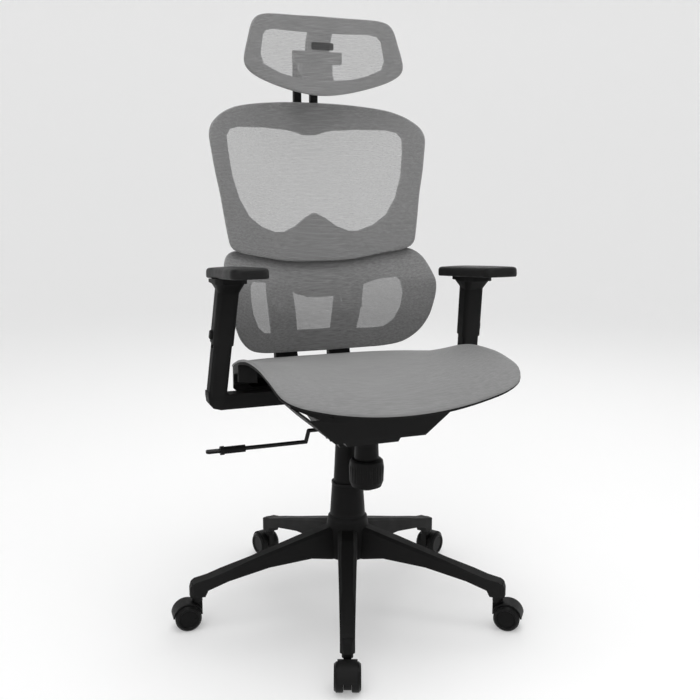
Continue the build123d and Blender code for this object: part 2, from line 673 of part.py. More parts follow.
def spine():
    """Forked spine: yoke under the seat, two uprights and a bridge behind the back."""
    side = [(44, PLATE_TOP), (192, PLATE_TOP), (214, 452), (222, 480), (226, 600), (222, 700), (216, 742), (190, 742),
            (190, 704), (208, 696), (211, 600), (207, 492), (196, 464), (186, 456), (44, 456)]
    sheet = side_prism(side, -130, 130)
    upright = [(36, 430), (84, 430), (84, 488), (90, 536), (99, 633), (100, 742), (60, 742), (58, 633),
               (45, 536), (36, 488)]
    fork = front_prism(upright, 30, 240) + front_prism([(-x, z) for x, z in upright], 30, 240)
    yoke = block(-84, 84, 30, 240, 430, 474)
    bridge = block(-100, 100, 198, 240, 706, 738)
    body = sheet & (fork + yoke + bridge)
    py, pz = LUMBAR_PIVOT
    for s in (-1, 1):
        x = 74 * s
        ear = side_prism([(py, pz - 9), (214, pz - 26), (214, pz + 26), (py, pz + 9)], x - 5, x + 5)
        ear = ear + rod(9, (x - 5, py, pz), (x + 5, py, pz))
        body = body + ear - rod(4, (x - 9, py, pz), (x + 9, py, pz))
    return body


# ---- lumbar support ----
def lumbar_surface(x, z):
    """Front of the lumbar mesh: furthest forward at two fifths of its height, flatter at the top."""
    centre = [(470, 172), (500, 165), (540, 158), (590, 153), (640, 161), (690, 185), (720, 201), (740, 212)]
    flatter = min(1.0, max(0.0, (z - 650) / 55.0))
    return curve_at(centre, z) - x * x / (2 * (LUMBAR_BULGE + 75 * flatter))


def lumbar_outline():
    """Outline of the lumbar support, seen from the front."""
    k = LUMBAR_HALF_W / 218.0
    half = [(0, 694), (60, 694), (121, 697), (150, 703), (178, 711), (198, 707), (211, 693), (217, 665), (217, 635),
            (210, 598), (203, 572), (189, 543), (165, 519), (134, 508), (97, 503), (41, 499), (0, 498)]
    return mirrored([(x * k, z) for x, z in half])


def lumbar_windows():
    """Three openings of the lumbar frame."""
    k = LUMBAR_HALF_W / 218.0
    middle = mirrored([(0, 612), (28, 613), (54, 621), (63, 630), (53, 545), (0, 543)])
    side = [(91, 637), (121, 648), (156, 653), (163, 645), (165, 620), (160, 590), (148, 562), (131, 547), (104, 543),
            (76, 543)]
    left = [(x * k, z) for x, z in side]
    return [[(x * k, z) for x, z in middle], left, [(-x, z) for x, z in left]]


def lumbar_mesh():
    """Stretched mesh of the lumbar support."""
    sheet = upright_sheet(lumbar_surface, LUMBAR_HALF_W + 8, 485, 730, 0, MESH_T)
    return sheet & soft_front_prism(lumbar_outline(), -20, 300)


def lumbar_frame():
    """Moulded frame of the lumbar support, with its pivot lugs."""
    w = LUMBAR_HALF_W + 8
    body = upright_sheet(lumbar_surface, w, 485, 730, MESH_T, FRAME_T - 2)
    body = body & soft_front_prism(lumbar_outline(), -20, 300)
    for window in lumbar_windows():
        body = body - front_prism(window, -40, 320)
    deep = upright_sheet(lumbar_surface, w, 485, 730, MESH_T + 1, 60)
    py, pz = LUMBAR_PIVOT
    for s in (-1, 1):
        for x in (74 * s - 9, 74 * s + 9):
            lug = side_prism([(100, pz - 14), (py, pz - 8), (py, pz + 8), (100, pz + 14)], x - 3.5, x + 3.5)
            lug = (lug & deep) + rod(8, (x - 3.5, py, pz), (x + 3.5, py, pz))
            body = body + lug
        body = body - rod(4 + RUN, (74 * s - 20, py, pz), (74 * s + 20, py, pz))
    return body


def lumbar_pins():
    """Steel pins that the lumbar support rocks on."""
    py, pz = LUMBAR_PIVOT
    return [rod(4, (74 * s - 17, py, pz), (74 * s + 17, py, pz)) for s in (-1, 1)]


# ---- headrest ----
def head_surface(x, z):
    """Front of the headrest mesh."""
    return 137 + (z - 1100) * 0.05 - x * x / (2 * HEAD_BULGE)


def head_outline():
    """Outline of the headrest, seen from the front."""
    k = HEAD_HALF_W / 162.0
    half = [(0, 1166), (50, 1165), (110, 1163), (133, 1157), (144, 1145), (153, 1117), (162, 1082), (161, 1067),
            (151, 1055), (125, 1042), (78, 1028), (37, 1020), (0, 1017)]
    return mirrored([(x * k, z) for x, z in half])


def head_window():
    """Opening of the headrest frame."""
    k = HEAD_HALF_W / 162.0
    half = [(0, 1137), (46, 1137), (98, 1138), (116, 1134), (124, 1124), (130, 1088), (124, 1070), (92, 1056),
            (58, 1048), (0, 1044)]
    return mirrored([(x * k, z) for x, z in half])


def head_mesh():
    """Stretched mesh of the headrest."""
    sheet = upright_sheet(head_surface, HEAD_HALF_W + 8, 1000, 1180, 0, MESH_T)
    return sheet & soft_front_prism(head_outline(), 50, 250)


def head_frame():
    """Moulded frame of the headrest: a ring, a rib bowed back from the mesh, a cross bar and pivot lugs."""
    w = HEAD_HALF_W + 8
    body = upright_sheet(head_surface, w, 1000, 1180, MESH_T, FRAME_T - 2)
    body = body & soft_front_prism(head_outline(), 50, 250)
    body = body - front_prism(head_window(), 40, 260)
    bow = [(145, 1151), (147, 1137), (160, 1119), (165, 1100), (165, 1062), (158, 1050), (139, 1039), (139, 1027),
           (163, 1036), (173, 1050), (176, 1064), (176, 1102), (172, 1122), (159, 1143), (150, 1152)]
    foot = [(165, 1080), (165, 1062), (158, 1050), (139, 1039), (139, 1027), (163, 1036), (173, 1050), (176, 1064),
            (176, 1080)]
    deep = upright_sheet(head_surface, w, 1000, 1180, MESH_T + 1, 60)
    rib = side_prism(bow, -24, 24) + side_prism(foot, -31, 31) + block(-51, 51, 165, 176, 1081, 1104)
    body = body + (rib & deep)
    py, pz = HEAD_PIVOT
    for x in (-27, 27):
        lug = side_prism([(168, pz - 22), (py, pz - 9), (py, pz + 9), (168, pz + 22)], x - 5, x + 5)
        body = body + lug + rod(9, (x - 5, py, pz), (x + 5, py, pz))
    return body - rod(5, (-50, py, pz), (50, py, pz))


def head_pin():
    """Friction pin of the headrest."""
    py, pz = HEAD_PIVOT
    return rod(5, (-34, py, pz), (34, py, pz))


def head_posts():
    """Twin posts joined at the top by the knuckle that carries the headrest."""
    py, pz = HEAD_PIVOT
    y = HEAD_POST_Y
    body = block(-26, 26, y - 5, y + 5, 1052, 1098)
    for x in (-HEAD_POST_X, HEAD_POST_X):
        body = body + block(x - 8, x + 8, y - 5, y + 5, 952, 1060)
    arm = side_prism([(py, pz - 9), (y, pz - 20), (y, pz + 20), (py, pz + 9)], -20, 20)
    body = body + arm + rod(9, (-20, py, pz), (20, py, pz))
    return body - rod(5 + RUN, (-50, py, pz), (50, py, pz))


# ---- castors, drawn on the leg along +X and turned into place ----
def castor_housing():
    """Web and hood between the twin wheels."""
    r = WHEEL_D / 2
    ax = CASTOR_CIRCLE + CASTOR_TRAIL
    half = WEB_T / 2
    web = rod(r - 4, (ax, -half, r), (ax, half, r))
    post = block(CASTOR_CIRCLE - half - 2, CASTOR_CIRCLE + half + 6, -half, half, r, WHEEL_D + 2)
    body = web + post
    hood = rod(r + 3.6, (ax, -17, r), (ax, 17, r)) - rod(r + 1, (ax, -18, r), (ax, 18, r))
    keep = [(CASTOR_CIRCLE - 12, r + 10), (CASTOR_CIRCLE - 12, r + 40), (ax + 40, r + 40), (ax + 40, r + 2), (ax, r + 2)]
    hood = hood & front_prism(keep, -20, 20)
    body = body + hood + (rod(r + 3.6, (ax, -half, r), (ax, half, r)) & front_prism(keep, -half, half))
    body = body + tube(10, 0, WHEEL_D + 1.5, WHEEL_D + 11.5, CASTOR_CIRCLE)
    body = body - tube(STEM_R, 0, r + 8, WHEEL_D + 12, CASTOR_CIRCLE)
    return body - rod(AXLE_R, (ax, -20, r), (ax, 20, r))


def castor_steel():
    """Stem and axle of one castor."""
    r = WHEEL_D / 2
    ax = CASTOR_CIRCLE + CASTOR_TRAIL
    stem = tube(STEM_R, 0, r + 8, WHEEL_D + 34, CASTOR_CIRCLE)
    reach = WEB_T / 2 + WHEEL_W - 4
    return [stem, rod(AXLE_R, (ax, -reach, r), (ax, reach, r))]


def castor_wheel(side):
    """One wheel: tread, dished outer face and blind axle hole."""
    r = WHEEL_D / 2
    ax = CASTOR_CIRCLE + CASTOR_TRAIL
    a = WEB_T / 2 + SIDE
    b = a + WHEEL_W
    profile = [(0, a), (r - 1.5, a), (r, a + 1.5), (r, b - 4), (r - 3.5, b), (r - 7, b), (r - 8.5, b - 2), (0, b - 2)]
    wire = Wire.make_polygon([(ax + d, side * t, r) for d, t in profile], close=True)
    wheel = Solid.revolve(Face(wire), 360, Axis((ax, 0, r), (0, 1, 0)))
    return wheel - rod(AXLE_R + RUN, (ax, 0, r), (ax, side * (b - 3.5), r))


# ---- write every node ----
def save(name, shape):
    """Write one node; a list is written as a group of separate solids."""
    if isinstance(shape, list):
        shape = Compound(children=[piece for item in shape for piece in item.solids()])
    export_step(shape, "parts/" + name + ".step")


nodes = {
    "base_star": base_star(),
    "column_tube": column_tube(),
    "guide_bush": guide_bush(),
    "thrust_bearing": thrust_bearing(),
    "sleeve_lower": sleeve_lower(),
    "piston_rod": piston_rod(),
    "gas_cylinder": gas_cylinder(),
    "sleeve_upper": sleeve_upper(),
    "mechanism_housing": mechanism_housing(),
    "tilt_pin": tilt_pin(),
    "tilt_spring": tilt_spring(),
    "tension_knob": tension_knob(),
    "height_lever": height_lever(),
    "lever_grip": lever_grip(),
    "valve_button": valve_button(),
    "top_plate": top_plate(),
    "seat_frame": seat_frame(),
    "seat_mesh": seat_mesh(),
    "under_cover": under_cover(),
    "cap_screws": cap_screws(),
    "spine": spine(),
    "back_frame": back_frame(),
    "back_mesh": back_mesh(),
    "lumbar_frame": lumbar_frame(),
    "lumbar_mesh": lumbar_mesh(),
    "lumbar_pins": lumbar_pins(),
    "head_posts": head_posts(),
    "head_frame": head_frame(),
    "head_mesh": head_mesh(),
    "head_pin": head_pin(),
}
for piece, maker in (("arm_bracket", arm_bracket), ("arm_sleeve", arm_sleeve), ("arm_button", arm_button),
                     ("pad_carrier", pad_carrier), ("arm_pad", arm_pad)):
    shape = maker()
    raised = 0.0 if piece == "arm_bracket" else RIGHT_ARM_RAISED
    nodes[piece + "_left"] = shape
    nodes[piece + "_right"] = right_side(shape, raised)
for k in range(LEG_COUNT):
    turn = Rot(0, 0, FIRST_LEG + 360 / LEG_COUNT * k)
    nodes["castor_housing_%d" % (k + 1)] = turn * castor_housing()
    nodes["castor_steel_%d" % (k + 1)] = [turn * piece for piece in castor_steel()]
    nodes["castor_wheel_%da" % (k + 1)] = turn * castor_wheel(1)
    nodes["castor_wheel_%db" % (k + 1)] = turn * castor_wheel(-1)
for name, shape in nodes.items():
    save(name, shape)
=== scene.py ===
import math
import bpy
import bmesh
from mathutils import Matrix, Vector


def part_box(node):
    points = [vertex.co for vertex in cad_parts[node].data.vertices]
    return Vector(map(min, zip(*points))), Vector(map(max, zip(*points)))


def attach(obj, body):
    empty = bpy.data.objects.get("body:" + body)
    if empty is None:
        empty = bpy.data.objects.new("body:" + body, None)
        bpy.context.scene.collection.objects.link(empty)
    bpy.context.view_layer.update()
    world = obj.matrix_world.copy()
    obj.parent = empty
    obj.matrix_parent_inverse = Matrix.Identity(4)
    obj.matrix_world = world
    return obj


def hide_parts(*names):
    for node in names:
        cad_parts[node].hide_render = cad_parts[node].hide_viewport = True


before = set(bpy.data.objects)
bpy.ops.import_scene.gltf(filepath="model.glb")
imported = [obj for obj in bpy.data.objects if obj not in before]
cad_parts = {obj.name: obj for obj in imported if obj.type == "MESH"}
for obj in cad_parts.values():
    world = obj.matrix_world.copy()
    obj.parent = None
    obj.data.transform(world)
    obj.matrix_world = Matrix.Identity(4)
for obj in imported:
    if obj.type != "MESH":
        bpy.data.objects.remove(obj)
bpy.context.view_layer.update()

MM = 0.001

# mesh sheets, in millimetres and counts
CURVE_STEPS = 12     # points that smooth each span of an outline
SHEET_AROUND = 168   # points round a sheet
SHEET_RINGS = 26     # rings from a sheet's middle to its outline
RING_SPREAD = 0.25   # 0 spaces the rings evenly, more crowds them at the outline
SHEET_BACK = 1.2     # how far a sheet lies behind its surface

# turned hem in a sheet's flat size, on each side, in metres
HEM_WIDE = 0.045
HEM_TALL = 0.025

# arm pads, in metres
PAD_VOXEL = 0.0022
PAD_CROWN = 0.0022

# shine of the materials
PLASTIC_SPECULAR = 0.10
PAD_SPECULAR = 0.2
FLOOR_SPECULAR = 0.1

# studio
FLOOR_GREY = 0.74
FLOOR_GLOW = 0.25
WORLD_LIGHT = 0.42
SOFTBOXES = [
    # name, place, target, size, power
    ("top", (0.1, -0.4, 3.6), (0, 0, 0.4), (3.0, 2.6), 62),
    ("key", (-2.2, -2.8, 2.6), (0, 0, 0.7), (1.8, 1.8), 25),
    ("rim", (1.4, 2.0, 2.4), (0, 0.1, 0.8), (1.6, 1.2), 8),
]

# camera, fitted to the photo
LENS_MM = 46.06
SENSOR_MM = 36.0
CAMERA_SHIFT_X = 2.5 / 700
CAMERA_PLACE = (-0.6135, -1.5983, 0.834)
CAMERA_TURN = 21.0
CAMERA_DIP = 10.2


# ---- surfaces of the four mesh panels, in millimetres ----
def curve_at(points, p):
    """Smooth value through (position, value) pairs, in millimetres."""
    for k in range(len(points) - 1):
        if points[k][0] <= p <= points[k + 1][0]:
            break
    a = points[max(k - 1, 0)]
    b = points[k]
    c = points[k + 1]
    d = points[min(k + 2, len(points) - 1)]
    t = (p - b[0]) / (c[0] - b[0])
    m0 = (c[1] - a[1]) / (c[0] - a[0]) * (c[0] - b[0])
    m1 = (d[1] - b[1]) / (d[0] - b[0]) * (c[0] - b[0])
    h1 = 2 * t ** 3 - 3 * t ** 2 + 1
    h2 = t ** 3 - 2 * t ** 2 + t
    h3 = -2 * t ** 3 + 3 * t ** 2
    h4 = t ** 3 - t ** 2
    return h1 * b[1] + h2 * m0 + h3 * c[1] + h4 * m1


def back_surface(x, z):
    return 185 + (z - 784) * 0.19 - x * x / 690


def lumbar_surface(x, z):
    centre = [(470, 172), (500, 165), (540, 158), (590, 153),
              (640, 161), (690, 185), (720, 201), (740, 212)]
    flatter = min(1.0, max(0.0, (z - 650) / 55))
    return curve_at(centre, z) - x * x / (2 * (225 + 75 * flatter))


def head_surface(x, z):
    return 137 + (z - 1100) * 0.05 - x * x / 1120


def seat_surface(x, y):
    centre = [(-320, 452), (-290, 470), (-250, 490), (-200, 500), (-100, 507),
              (0, 505), (100, 497), (200, 484), (220, 481)]
    edge = [(-320, 490), (-290, 508), (-256, 527), (-216, 536), (-170, 541), (-90, 539),
            (-33, 529), (10, 517), (60, 503), (200, 484), (220, 482)]
    lean = min(1.0, abs(x) / 225) ** 2
    return curve_at(centre, y) * (1 - lean) + curve_at(edge, y) * lean


# half outlines, from the middle of one edge round to the middle of the opposite one
BACK_HALF = [(0, 1010), (80, 1007), (156, 996), (190, 983), (211, 968), (222, 955), (227, 938), (224, 907),
             (219, 870), (211, 826), (204, 775), (199, 742), (195, 725), (184, 714), (135, 702), (76, 690),
             (0, 687)]
LUMBAR_HALF = [(0, 694), (60, 694), (121, 697), (150, 703), (178, 711), (198, 707), (211, 693), (217, 665),
               (217, 635), (210, 598), (203, 572), (189, 543), (165, 519), (134, 508), (97, 503),
               (41, 499), (0, 498)]
HEAD_HALF = [(0, 1166), (50, 1165), (110, 1163), (133, 1157), (144, 1145), (153, 1117), (162, 1082),
             (161, 1067), (151, 1055), (125, 1042), (78, 1028), (37, 1020), (0, 1017)]
SEAT_HALF = [(0, -290), (81, -290), (153, -289), (196, -286), (217, -276), (225, -246), (225, -110),
             (223, -20), (216, 50), (196, 110), (162, 155), (112, 181), (56, 188), (0, 188)]


def closed_loop(half, count):
    """Evenly spaced points of a smooth closed curve through a half outline and its mirror image."""
    points = list(half) + [(-a, b) for a, b in reversed(half) if a > 0.01]
    fine = []
    n = len(points)
    for i in range(n):
        p0, p1, p2, p3 = (points[(i + k) % n] for k in (-1, 0, 1, 2))
        d1 = math.dist(p1, p2)
        t1 = [(p2[k] - p0[k]) / (math.dist(p0, p1) + d1) * d1 for k in (0, 1)]
        t2 = [(p3[k] - p1[k]) / (d1 + math.dist(p2, p3)) * d1 for k in (0, 1)]
        for s in range(CURVE_STEPS):
            t = s / CURVE_STEPS
            h = (2 * t ** 3 - 3 * t ** 2 + 1, t ** 3 - 2 * t ** 2 + t,
                 -2 * t ** 3 + 3 * t ** 2, t ** 3 - t ** 2)
            fine.append([h[0] * p1[k] + h[1] * t1[k] + h[2] * p2[k] + h[3] * t2[k] for k in (0, 1)])
    lengths = [0.0]
    for a, b in zip(fine, fine[1:] + fine[:1]):
        lengths.append(lengths[-1] + math.dist(a, b))
    out = []
    k = 0
    for i in range(count):
        want = lengths[-1] * i / count
        while lengths[k + 1] < want:
            k += 1
        t = (want - lengths[k]) / (lengths[k + 1] - lengths[k])
        a, b = fine[k], fine[(k + 1) % len(fine)]
        out.append((a[0] + (b[0] - a[0]) * t, a[1] + (b[1] - a[1]) * t))
    return out


def outward(loop, i):
    """Unit vector out of a closed loop at point i."""
    a, b = loop[i - 1], loop[(i + 1) % len(loop)]
    dx, dz = b[0] - a[0], b[1] - a[1]
    length = math.hypot(dx, dz)
    n = (dz / length, -dx / length)
    middle = (sum(p[0] for p in loop) / len(loop), sum(p[1] for p in loop) / len(loop))
    if n[0] * (loop[i][0] - middle[0]) + n[1] * (loop[i][1] - middle[1]) < 0:
        n = (-n[0], -n[1])
    return n


def new_object(name, verts, faces):
    mesh = bpy.data.meshes.new(name)
    mesh.from_pydata([Vector(v) * MM for v in verts], [], faces)
    mesh.validate()
    obj = bpy.data.objects.new(name, mesh)
    bpy.context.scene.collection.objects.link(obj)
    for face in mesh.polygons:
        face.use_smooth = True
    return obj


def panel_sheet(name, half, place, hem, centre):
    """One stretched sheet: rings from the middle to the outline, then a hem rolled round the frame's edge.

    place(a, b, back) gives the point at outline coordinates (a, b), set back by that much.
    """
    count, rings = SHEET_AROUND, SHEET_RINGS
    loop = closed_loop(half, count)
    out = [outward(loop, i) for i in range(count)]
    verts = [place(centre[0], centre[1], SHEET_BACK)]
    for j in range(1, rings + 1):
        r = j / rings
        r = r * (1 + RING_SPREAD - RING_SPREAD * r)
        for a, b in loop:
            verts.append(place(centre[0] + (a - centre[0]) * r, centre[1] + (b - centre[1]) * r, SHEET_BACK))
    for grow, back in hem:
        for (a, b), n in zip(loop, out):
            verts.append(place(a + n[0] * grow, b + n[1] * grow, back))
    faces = [(0, 1 + i, 1 + (i + 1) % count) for i in range(count)]
    for j in range(rings + len(hem) - 1):
        lo, hi = 1 + j * count, 1 + (j + 1) * count
        for i in range(count):
            k = (i + 1) % count
            faces.append((lo + i, hi + i, hi + k, lo + k))
    obj = new_object(name, verts, faces)
    flip = bmesh.new()
    flip.from_mesh(obj.data)
    bmesh.ops.recalc_face_normals(flip, faces=flip.faces)
    flip.to_mesh(obj.data)
    flip.free()
    return obj


def sheet_area(obj):
    return sum(p.area for p in obj.data.polygons)


# ---- materials ----
def nodes_of(name):
    mat = bpy.data.materials.new(name)
    mat.use_nodes = True
    tree = mat.node_tree
    tree.nodes.clear()
    out = tree.nodes.new("ShaderNodeOutputMaterial")
    shader = tree.nodes.new("ShaderNodeBsdfPrincipled")
    tree.links.new(shader.outputs[0], out.inputs[0])
    return mat, tree, shader


def add(tree, kind, **values):
    node = tree.nodes.new(kind)
    for key, value in values.items():
        if hasattr(node, key):
            setattr(node, key, value)
        else:
            node.inputs[key.replace("_", " ").title()].default_value = value
    return node


def stretched_coords(tree, scale):
    """Object coordinates, scaled separately along each axis."""
    coords = tree.nodes.new("ShaderNodeTexCoord")
    mapping = tree.nodes.new("ShaderNodeMapping")
    mapping.inputs["Scale"].default_value = scale
    tree.links.new(coords.outputs["Object"], mapping.inputs["Vector"])
    return mapping.outputs["Vector"]


def ramp(tree, source, stops):
    node = tree.nodes.new("ShaderNodeValToRGB")
    elements = node.color_ramp.elements
    while len(elements) < len(stops):
        elements.new(0.5)
    for element, (position, grey) in zip(elements, stops):
        element.position = position
        element.color = (grey, grey, grey, 1)
    tree.links.new(source, node.inputs["Fac"])
    return node.outputs["Color"]


def combine(tree, kind, a, b):
    node = tree.nodes.new("ShaderNodeMath")
    node.operation = kind
    for socket, value in zip(node.inputs, (a, b)):
        if isinstance(value, (int, float)):
            socket.default_value = value
        else:
            tree.links.new(value, socket)
    return node.outputs[0]


def mesh_fabric(name, dark, light, solid, across="Z"):
    """Ribbed knitted mesh: long horizontal streaks, fine ribs, tiny holes that let light through."""
    mat, tree, shader = nodes_of(name)
    streak = add(tree, "ShaderNodeTexNoise", scale=1.0, detail=3.0, roughness=0.6)
    tree.links.new(stretched_coords(tree, (24, 330, 420)), streak.inputs["Vector"])
    blotch = add(tree, "ShaderNodeTexNoise", scale=1.0, detail=2.0)
    tree.links.new(stretched_coords(tree, (9, 9, 9)), blotch.inputs["Vector"])
    rib = add(tree, "ShaderNodeTexWave", bands_direction=across, scale=1.0, distortion=1.5)
    tree.links.new(stretched_coords(tree, (1, 120, 120)), rib.inputs["Vector"])
    yarn = add(tree, "ShaderNodeTexWave", bands_direction="X", scale=1.0, distortion=0.6)
    tree.links.new(stretched_coords(tree, (190, 1, 1)), yarn.inputs["Vector"])
    value = combine(tree, "MULTIPLY", streak.outputs["Fac"], 0.72)
    value = combine(tree, "ADD", value, combine(tree, "MULTIPLY", blotch.outputs["Fac"], 0.16))
    value = combine(tree, "ADD", value, combine(tree, "MULTIPLY", rib.outputs["Fac"], 0.12))
    colour = ramp(tree, value, [(0.30, dark), (0.52, (dark + light) / 2), (0.72, light)])
    tree.links.new(colour, shader.inputs["Base Color"])
    weave = combine(tree, "MULTIPLY", rib.outputs["Fac"], yarn.outputs["Fac"])
    cover = ramp(tree, combine(tree, "ADD", weave, combine(tree, "MULTIPLY", streak.outputs["Fac"], 0.7)),
                 [(0.20, solid - 0.2), (0.60, min(1.0, solid)), (1.0, min(1.0, solid + 0.2))])
    tree.links.new(cover, shader.inputs["Alpha"])
    bump = add(tree, "ShaderNodeBump", strength=0.35)
    bump.inputs["Distance"].default_value = 0.0006
    tree.links.new(combine(tree, "ADD", weave, streak.outputs["Fac"]), bump.inputs["Height"])
    tree.links.new(bump.outputs["Normal"], shader.inputs["Normal"])
    shader.inputs["Roughness"].default_value = 0.82
    shader.inputs["Sheen Weight"].default_value = 0.25
    shader.inputs["Sheen Roughness"].default_value = 0.5
    return mat


def plastic(name, grey, rough, grain=900.0, depth=0.00012, wear=0.5):
    """Moulded plastic: fine spark texture, soft roughness patches, paler rubbed edges."""
    mat, tree, shader = nodes_of(name)
    fine = add(tree, "ShaderNodeTexNoise", scale=grain, detail=2.0)
    wide = add(tree, "ShaderNodeTexNoise", scale=22.0, detail=4.0)
    coords = stretched_coords(tree, (1, 1, 1))
    tree.links.new(coords, fine.inputs["Vector"])
    tree.links.new(coords, wide.inputs["Vector"])
    geometry = tree.nodes.new("ShaderNodeNewGeometry")
    rubbed = ramp(tree, geometry.outputs["Pointiness"], [(0.50, 0.0), (0.60, wear)])
    patch = combine(tree, "MULTIPLY", wide.outputs["Fac"], grey * 0.6)
    shade = combine(tree, "ADD", combine(tree, "MULTIPLY", rubbed, 0.012),
                    combine(tree, "ADD", patch, grey * 0.7))
    tree.links.new(shade, shader.inputs["Base Color"])
    tone = ramp(tree, wide.outputs["Fac"], [(0.3, rough - 0.06), (0.7, rough + 0.07)])
    tree.links.new(tone, shader.inputs["Roughness"])
    bump = add(tree, "ShaderNodeBump", strength=0.5)
    bump.inputs["Distance"].default_value = depth
    tree.links.new(fine.outputs["Fac"], bump.inputs["Height"])
    tree.links.new(bump.outputs["Normal"], shader.inputs["Normal"])
    shader.inputs["Specular IOR Level"].default_value = PLASTIC_SPECULAR
    return mat


def metal(name, grey, rough, turned=False):
    """Plated or blackened steel with fine drawing marks."""
    mat, tree, shader = nodes_of(name)
    marks = add(tree, "ShaderNodeTexNoise", scale=1.0, detail=3.0)
    tree.links.new(stretched_coords(tree, (60, 60, 1800) if turned else (900, 900, 60)), marks.inputs["Vector"])
    tree.links.new(ramp(tree, marks.outputs["Fac"], [(0.3, grey * 0.75), (0.7, grey * 1.2)]),
                   shader.inputs["Base Color"])
    tree.links.new(ramp(tree, marks.outputs["Fac"], [(0.3, rough - 0.07), (0.7, rough + 0.1)]),
                   shader.inputs["Roughness"])
    shader.inputs["Metallic"].default_value = 1.0
    return mat


def soft_pad(name):
    """Polyurethane skin with a fine leather-like grain and faint polish marks."""
    mat, tree, shader = nodes_of(name)
    coords = stretched_coords(tree, (1, 1, 1))
    cells = add(tree, "ShaderNodeTexVoronoi", scale=700.0)
    wide = add(tree, "ShaderNodeTexNoise", scale=30.0, detail=4.0)
    tree.links.new(coords, cells.inputs["Vector"])
    tree.links.new(coords, wide.inputs["Vector"])
    tree.links.new(ramp(tree, wide.outputs["Fac"], [(0.3, 0.004), (0.7, 0.009)]), shader.inputs["Base Color"])
    tree.links.new(ramp(tree, wide.outputs["Fac"], [(0.3, 0.42), (0.7, 0.58)]), shader.inputs["Roughness"])
    bump = add(tree, "ShaderNodeBump", strength=0.45)
    bump.inputs["Distance"].default_value = 0.0003
    tree.links.new(cells.outputs["Distance"], bump.inputs["Height"])
    tree.links.new(bump.outputs["Normal"], shader.inputs["Normal"])
    shader.inputs["Specular IOR Level"].default_value = PAD_SPECULAR
    return mat


def pale_floor(name, grey):
    """Matt white floor with a slight glow of its own."""
    mat, tree, shader = nodes_of(name)
    shader.inputs["Base Color"].default_value = (grey, grey, grey, 1)
    shader.inputs["Roughness"].default_value = 0.9
    shader.inputs["Specular IOR Level"].default_value = FLOOR_SPECULAR
    shader.inputs["Emission Color"].default_value = (1, 1, 1, 1)
    shader.inputs["Emission Strength"].default_value = FLOOR_GLOW
    return mat


FABRIC = mesh_fabric("grey_mesh", 0.235, 0.345, 0.61)
LUMBAR_FABRIC = mesh_fabric("grey_lumbar_mesh", 0.17, 0.265, 0.82)
SEAT_FABRIC = mesh_fabric("grey_seat_mesh", 0.175, 0.255, 1.2, "Y")
BLACK = plastic("black_plastic", 0.004, 0.56)
SATIN = plastic("satin_black_plastic", 0.0035, 0.46, 1400.0, 0.00006)
DARK_GREY = plastic("dark_grey_plastic", 0.008, 0.6)
SHELL_GREY = plastic("shell_grey_plastic", 0.20, 0.6)
LUMBAR_GREY = plastic("lumbar_grey_plastic", 0.075, 0.6)
WHEEL = plastic("wheel_nylon", 0.005, 0.30, 1600.0, 0.00004)
CAST = plastic("black_casting", 0.007, 0.5, 500.0, 0.0003)
STEEL = metal("drawn_steel", 0.42, 0.32)
BLACK_STEEL = metal("black_steel", 0.03, 0.45, True)
CHROME = metal("ground_rod", 0.6, 0.18, True)
PAD = soft_pad("pad_skin")
LABEL = mesh_fabric("label_weave", 0.02, 0.06, 0.99)

FINISH = {
    "base_star": BLACK, "sleeve_lower": SATIN, "sleeve_upper": SATIN, "column_tube": BLACK_STEEL,
    "guide_bush": DARK_GREY, "thrust_bearing": STEEL, "piston_rod": CHROME, "gas_cylinder": BLACK_STEEL,
    "mechanism_housing": CAST, "tilt_pin": STEEL, "tilt_spring": BLACK_STEEL, "tension_knob": SATIN,
    "height_lever": BLACK_STEEL, "lever_grip": SATIN, "valve_button": DARK_GREY, "top_plate": BLACK_STEEL,
    "seat_frame": BLACK, "under_cover": DARK_GREY, "cap_screws": BLACK_STEEL, "spine": BLACK,
    "back_frame": SHELL_GREY, "lumbar_frame": LUMBAR_GREY, "lumbar_pins": STEEL, "head_posts": SATIN,
    "head_frame": SHELL_GREY, "head_pin": STEEL,
}
for side in ("left", "right"):
    FINISH["arm_bracket_" + side] = BLACK
    FINISH["arm_sleeve_" + side] = BLACK
    FINISH["arm_button_" + side] = SATIN
    FINISH["pad_carrier_" + side] = BLACK
for k in range(1, 6):
    FINISH["castor_housing_%d" % k] = SATIN
    FINISH["castor_steel_%d" % k] = STEEL
    FINISH["castor_wheel_%da" % k] = WHEEL
    FINISH["castor_wheel_%db" % k] = WHEEL


def dress(obj, mat):
    obj.data.materials.clear()
    obj.data.materials.append(mat)


for node, mat in FINISH.items():
    obj = bpy.data.objects[node]
    if obj.material_slots:
        for part_slot in obj.material_slots:
            part_slot.material = mat
    else:
        obj.data.materials.append(mat)


# ---- mesh panels ----
def upright(surface):
    return lambda a, b, back: (a, surface(a, b) + back, b)


def lying(a, b, back):
    return (a, b, seat_surface(a, b) - back)


def make_panel(name, half, place, hem, centre, body, node, mat):
    obj = panel_sheet(name, half, place, hem, centre)
    dress(obj, mat)
    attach(obj, body)
    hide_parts(node)
    points = [v.co for v in obj.data.vertices]
    span = [max(p[k] for p in points) - min(p[k] for p in points) for k in range(3)]
    wide = span[0] + 2 * HEM_WIDE
    tall = max(span[2], span[1]) + 2 * HEM_TALL
    area = sheet_area(obj)
    tall = max(tall, area / wide)
    return obj


